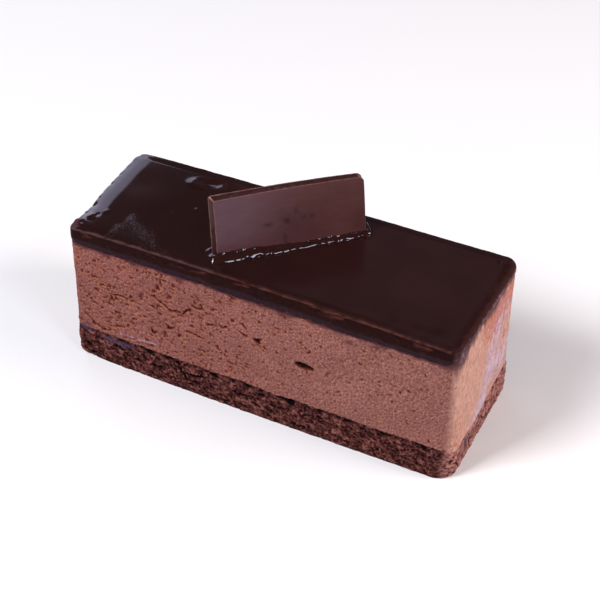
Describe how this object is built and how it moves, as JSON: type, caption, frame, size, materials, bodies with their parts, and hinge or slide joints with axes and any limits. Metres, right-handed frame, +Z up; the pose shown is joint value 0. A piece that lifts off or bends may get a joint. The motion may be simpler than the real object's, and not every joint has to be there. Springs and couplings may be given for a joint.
{
  "type": "chocolate mousse cake",
  "caption": "Rectangular bar of chocolate mousse cake: cocoa sponge base, thick mousse, dark glaze, and a small chocolate plaque standing on top.",
  "frame": {"origin": "middle of the underside that the cake rests on", "axes": "+X along the bar, -Y towards its long cut front, +Z up"},
  "size_m": [0.1016, 0.0378, 0.0553],
  "materials": {
    "sponge": "rough crumb",
    "mousse": "matt, aerated",
    "glaze": "mirror gloss",
    "plaque": "satin"
  },
  "bodies": {
    "root": {"sponge_base": "sponge", "mousse": "mousse", "glaze": "glaze", "plaque": "plaque"}
  },
  "joints": []
}
